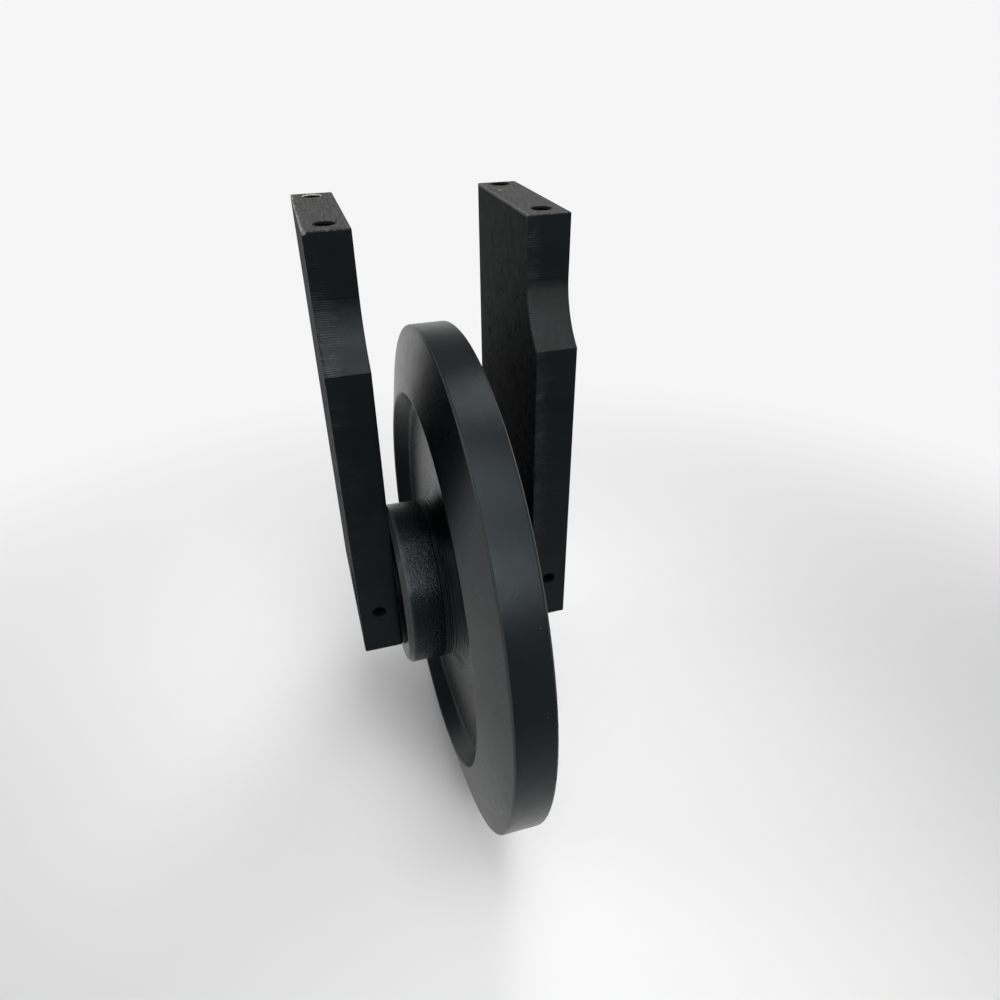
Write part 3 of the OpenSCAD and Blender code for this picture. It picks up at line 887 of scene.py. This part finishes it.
def plate_paint():
    """Satin black paint over rolled plate: long thin pits on the faces, more of them low and near the front,
    a film of dust on the outer faces, grain, painted highlights on the crests and painted shade in the
    grooves of the flame-cut edges, dust with painted sheen in the hollow, thin speckled paint with painted
    sheen on the milled top, bare rubbed rims and painted shade in the holes."""
    material, tree, shader, place = new_finish("plate_paint")
    xyz = put(tree, "SeparateXYZ", {"Vector": place})
    flame_cut = attribute(tree, "flame_cut")
    milled = attribute(tree, "milled")
    deep = attribute(tree, "deep")
    rolled = math(tree, "SUBTRACT", math(tree, "SUBTRACT", 1.0, flame_cut), milled)

    cluster = ramp(tree, noise(tree, place, size=16 * MM, detail=2.0), 0.35, 0.65, to_low=-0.06, to_high=0.06)
    to_front = ramp(tree, xyz.outputs["X"], PITS_BACK, PITS_FRONT, to_low=-0.05, to_high=0.03)
    lower = ramp(tree, xyz.outputs["Z"], PITS_TOP, PITS_LOW, to_low=-0.06, to_high=0.02)
    more = plus(tree, plus(tree, cluster, to_front), lower)
    pit_noise = noise(tree, stretched(tree, place, (1, 1, 0.5)), size=2.6 * MM, detail=2.0)
    pits = times(tree, ramp(tree, plus(tree, pit_noise, more), 0.62, 0.66), rolled)
    rolling = noise(tree, stretched(tree, place, (1, 1, 0.02)), size=0.8 * MM, detail=3.0)
    scale = noise(tree, stretched(tree, place, (1, 0.1, 1)), size=0.8 * MM, detail=3.0, rough=0.6)
    mill = noise(tree, place, size=0.9 * MM, detail=4.0, rough=0.7)
    lumps = noise(tree, place, size=3.5 * MM, detail=3.0)
    relief = bump(tree, times(tree, pits, -1.0), depth=0.6 * MM)
    relief = bump(tree, times(tree, rolling, rolled), depth=0.006 * MM, under=relief)
    relief = bump(tree, lumps, depth=0.12 * MM, under=relief)
    relief = bump(tree, times(tree, scale, flame_cut), depth=0.05 * MM, under=relief)
    relief = bump(tree, times(tree, mill, milled), depth=0.3 * MM, under=relief)
    tree.links.new(relief, shader.inputs["Normal"])

    cloud = ramp(tree, noise(tree, place, size=25 * MM, detail=4.0), 0.35, 0.7)
    paint = blend_colours(tree, cloud, PLATE_DARK, PLATE_LIGHT)
    paint = blend_colours(tree, pits, paint, PIT_BLACK)
    outer = ramp(tree, math(tree, "ABSOLUTE", xyz.outputs["Y"]), PLATE_MID, PLATE_OUT)
    patchy = ramp(tree, cloud, 0.0, 1.0, to_low=0.2, to_high=0.9)
    film = times(tree, times(tree, rolled, outer), patchy)
    paint = blend_colours(tree, film, paint, FACE_FILM)
    # Dust with painted sheen in the hollow
    dust_and_sheen_share = times(tree, attribute(tree, "hollow"), ramp(tree, lumps, 0.3, 0.7, to_low=0.75))
    paint = blend_colours(tree, dust_and_sheen_share, paint, HOLLOW_DUST_AND_SHEEN)
    # Painted highlight on the drag lines' crests
    crest = times(tree, attribute(tree, "crest"), ramp(tree, lumps, 0.38, 0.6, to_low=0.4))
    paint = blend_colours(tree, crest, paint, CREST_HIGHLIGHT)
    # Painted shade in the grooves and notches of the flame-cut edges
    groove = times(tree, attribute(tree, "groove"), GROOVE_SHADE_SHARE)
    paint = blend_colours(tree, groove, paint, GROOVE_SHADE)
    mill_lines = noise(tree, stretched(tree, place, (0.22, 1, 1)), size=1.0 * MM, detail=2.0, rough=0.6)
    speckle = ramp(tree, mill_lines, 0.36, 0.64)
    # Thin speckled paint on the milled top, with painted sheen in its light speckle
    thin_paint_and_sheen = blend_colours(tree, speckle, MILLED_DARK, MILLED_LIGHT_AND_SHEEN)
    paint = blend_colours(tree, milled, paint, thin_paint_and_sheen)
    fleck = noise(tree, place, size=2.0 * MM, detail=5.0, rough=0.75)
    rubbed = ramp(tree, times(tree, attribute(tree, "edge"), fleck), 0.56, 0.74)
    paint = blend_colours(tree, rubbed, paint, PLATE_RUBBED)
    bare = times(tree, attribute(tree, "bare"), ramp(tree, fleck, 0.3, 0.5))
    paint = blend_colours(tree, bare, paint, BARE_STEEL)
    for middle, size, colour in RUBBED_SPOTS:
        near = put(tree, "VectorMath", {0: place, 1: middle}, operation="DISTANCE").outputs["Value"]
        near = plus(tree, near, times(tree, fleck, size))
        paint = blend_colours(tree, ramp(tree, near, 1.5 * size, 1.2 * size), paint, colour)
    # Painted shade inside the tapped holes
    paint = blend_colours(tree, deep, paint, HOLE_SHADE)
    tree.links.new(paint, shader.inputs["Base Color"])

    gloss = ramp(tree, noise(tree, place, size=7 * MM, detail=5.0), 0.3, 0.7, to_low=0.33, to_high=0.41)
    gloss = plus(tree, gloss, times(tree, rolled, ROLLED_DULL))
    gloss = plus(tree, gloss, times(tree, times(tree, milled, speckle), MILLED_DULL))
    gloss = plus(tree, gloss, times(tree, pits, PIT_DULL))
    gloss = plus(tree, gloss, times(tree, deep, HOLE_DULL))
    tree.links.new(gloss, shader.inputs["Roughness"])
    shader.inputs["Specular IOR Level"].default_value = PLATE_SHINE
    shader.inputs["Specular Tint"].default_value = BLUE_SHINE
    return material


def turned_metal(name, colour, shade_colour, roughness, metallic, shine=0.5, painted_and_shaded_from=None):
    """Turned metal, bare or painted: fine lines round the axle and a cloudy tint. Black paint with painted
    shade lies on what is further out along the axle than the place given."""
    material, tree, shader, place = new_finish(name)
    lines = turned_lines(tree, radius_and_place(tree, place), size=0.5 * MM, detail=3.0)
    tree.links.new(bump(tree, lines, depth=0.02 * MM), shader.inputs["Normal"])
    cloud = noise(tree, place, size=12 * MM, detail=4.0)
    tint = blend_colours(tree, ramp(tree, cloud, 0.35, 0.65), colour, shade_colour)
    # Black paint with painted shade where the collar shows in the gap beside the hub
    if painted_and_shaded_from is not None:
        out = math(tree, "ABSOLUTE", put(tree, "SeparateXYZ", {"Vector": place}).outputs["Y"])
        paint = ramp(tree, out, painted_and_shaded_from, painted_and_shaded_from + PAINT_AND_SHADE_RAMP)
        tint = blend_colours(tree, paint, tint, BLACK_PAINT_AND_SHADE)
    tree.links.new(tint, shader.inputs["Base Color"])
    dullest = roughness + TURNED_SPREAD
    gloss = ramp(tree, lines, 0.3, 0.7, to_low=roughness - TURNED_SPREAD, to_high=dullest)
    tree.links.new(gloss, shader.inputs["Roughness"])
    shader.inputs["Metallic"].default_value = metallic
    shader.inputs["Specular IOR Level"].default_value = shine
    return material


def moulded_rubber():
    """Matte black rubber with a fine moulded grain."""
    material, tree, shader, place = new_finish("seal_rubber")
    grain = noise(tree, place, size=0.6 * MM, detail=3.0)
    tree.links.new(bump(tree, grain, depth=0.03 * MM), shader.inputs["Normal"])
    tree.links.new(ramp(tree, grain, 0.3, 0.7, to_low=0.62, to_high=0.8), shader.inputs["Roughness"])
    cloud = ramp(tree, noise(tree, place, size=6 * MM), 0.3, 0.7)
    tint = blend_colours(tree, cloud, RUBBER_DARK, RUBBER_LIGHT)
    tree.links.new(tint, shader.inputs["Base Color"])
    return material


def both(piece):
    """Names of the left and the right one of a piece."""
    return ["left_" + piece, "right_" + piece]


def dress(names, material):
    """The material on CAD nodes that keep their own shape."""
    for name in names:
        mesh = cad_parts[name].data
        mesh.materials.clear()
        mesh.materials.append(material)


def make_floor():
    """A wide pale floor under the wheel: a square whose paper is grey around the wheel and goes over to
    plain white far away, measured from a point in front of the wheel."""
    corner = np.array([[-1, -1, 0], [1, -1, 0], [1, 1, 0], [-1, 1, 0]])
    mesh = bpy.data.meshes.new("floor")
    mesh.from_pydata((corner * FLOOR_HALF + [0, 0, FLOOR_Z]).tolist(), [], [(0, 1, 2, 3)])
    floor = bpy.data.objects.new("floor", mesh)
    bpy.context.scene.collection.objects.link(floor)
    material, tree, shader, place = new_finish("floor_paper")
    shader.inputs["Base Color"].default_value = (*FLOOR_GREY, 1)
    shader.inputs["Roughness"].default_value = FLOOR_ROUGHNESS
    shader.inputs["Specular IOR Level"].default_value = FLOOR_SHINE
    shifted = {"Vector": place, "Location": (-FADE_CENTRE_X, 0, 0), "Scale": (1, 1, 0)}
    flat = put(tree, "Mapping", shifted).outputs[0]
    distance = put(tree, "VectorMath", {0: flat}, operation="LENGTH").outputs["Value"]
    far = soft_ramp(tree, distance, FADE_START, FADE_END)
    glow = put(tree, "Emission", {"Color": PURE_WHITE, "Strength": WHITE}).outputs[0]
    paper = put(tree, "MixShader", {0: far, 1: shader.outputs[0], 2: glow}).outputs[0]
    tree.links.new(paper, tree.nodes["Material Output"].inputs["Surface"])
    mesh.materials.append(material)


def add_lamp(name, at, target, size, power, spread):
    """A soft lamp that faces a point, with a honeycomb that narrows its beam to the spread in degrees."""
    data = bpy.data.lights.new(name, "AREA")
    data.shape = "RECTANGLE"
    data.size, data.size_y = size
    data.energy = power
    data.spread = np.radians(spread)
    lamp = bpy.data.objects.new(name, data)
    lamp.location = at
    lamp.rotation_euler = (Vector(target) - Vector(at)).to_track_quat("-Z", "Y").to_euler()
    bpy.context.scene.collection.objects.link(lamp)


def add_world():
    """White walls at eye level under a dimmer ceiling."""
    world = bpy.data.worlds.new("surroundings")
    world.use_nodes = True
    tree = world.node_tree
    background = tree.nodes["Background"]
    direction = put(tree, "TexCoord").outputs["Generated"]
    rise = put(tree, "SeparateXYZ", {"Vector": direction}).outputs["Z"]
    glow = soft_ramp(tree, rise, WALL_TOP, CEILING_FROM, to_low=WHITE, to_high=CEILING)
    tree.links.new(glow, background.inputs["Strength"])
    background.inputs["Color"].default_value = PURE_WHITE
    bpy.context.scene.world = world


def add_camera():
    """The photograph's camera, from its bearing, height angle, roll, place and lens."""
    azimuth, elevation, roll = np.radians(CAMERA_ANGLES)
    level = np.array([np.sin(azimuth), -np.cos(azimuth), 0]) * np.cos(elevation)
    back = level + np.array([0, 0, np.sin(elevation)])
    right = unit(np.cross(-back, [0, 0, 1]))
    down = np.cross(-back, right)
    rolled_right = np.cos(roll) * right + np.sin(roll) * down
    rolled_down = np.cos(roll) * down - np.sin(roll) * right
    data = bpy.data.cameras.new("camera")
    data.sensor_width = SENSOR_W
    data.lens = LENS
    data.clip_start = NEAR_CLIP
    camera = bpy.data.objects.new("camera", data)
    turn = Matrix(np.stack([rolled_right, -rolled_down, back], 1).tolist()).to_4x4()
    camera.matrix_world = Matrix.Translation(CAMERA_AT) @ turn
    bpy.context.scene.collection.objects.link(camera)
    bpy.context.scene.camera = camera


# The pieces that replace a solid
wheel = make_wheel()
wheel.data.materials.append(wheel_paint())
plate_finish = plate_paint()
for side, name, node in ((-1, "left_plate", "left_bracket"), (1, "right_plate", "right_bracket")):
    make_plate(side, name, node).data.materials.append(plate_finish)

# Finishes of the solids that stay
dress(["axle"], turned_metal(
    "axle_paint", (0.003, 0.0036, 0.004), (0.0046, 0.005, 0.0054), roughness=0.42, metallic=0.0, shine=0.1
))
# Collars: bare turned steel, with black paint and painted shade in the gap between hub and plate
dress(both("seal_collar"), turned_metal(
    "collar_steel", (0.55, 0.56, 0.58), (0.4, 0.4, 0.41), roughness=0.42, metallic=1.0,
    painted_and_shaded_from=COLLAR_PAINT_AND_SHADE_FROM
))
dress(both("lock_pin"), turned_metal(
    "pin_steel", (0.001, 0.001, 0.001), (0.002, 0.002, 0.002), roughness=0.6, metallic=0.0, shine=0.03
))
dress(["oil_plug"], turned_metal(
    "plug_steel", (0.3, 0.3, 0.31), (0.22, 0.22, 0.22), roughness=0.4, metallic=1.0
))
dress(both("bush"), turned_metal(
    "bronze", (0.66, 0.47, 0.24), (0.5, 0.34, 0.17), roughness=0.32, metallic=1.0
))
dress(both("turning_seal_ring") + both("fixed_seal_ring"), turned_metal(
    "seal_iron", (0.42, 0.42, 0.43), (0.3, 0.3, 0.3), roughness=0.25, metallic=1.0
))
dress(both("turning_toric") + both("fixed_toric") + both("axle_o_ring"), moulded_rubber())

# Stage, light and camera
make_floor()
add_world()
add_lamp("front_softbox", at=(1.02, 0.1, 0.8), target=(0, 0, 0.06), size=(0.45, 0.95), power=1.2, spread=50)
add_lamp("top_softbox", at=(0.36, 0.1, 1.25), target=(0, 0, 0.06), size=(0.45, 1.0), power=1.05, spread=56)
add_lamp("back_softbox", at=(-0.49, 0.45, 1.2), target=(0, 0, 0), size=(0.45, 0.85), power=2.15, spread=110)
add_lamp("left_softbox", at=(-0.3, -1.2, 0.6), target=(0, -0.07, 0.1), size=(0.8, 0.8), power=0.65, spread=60)
add_lamp("right_softbox", at=(-0.3, 1.2, 0.6), target=(0, 0.07, 0.1), size=(0.8, 0.8), power=0.45, spread=60)
add_camera()
bpy.context.scene.view_settings.view_transform = "Standard"
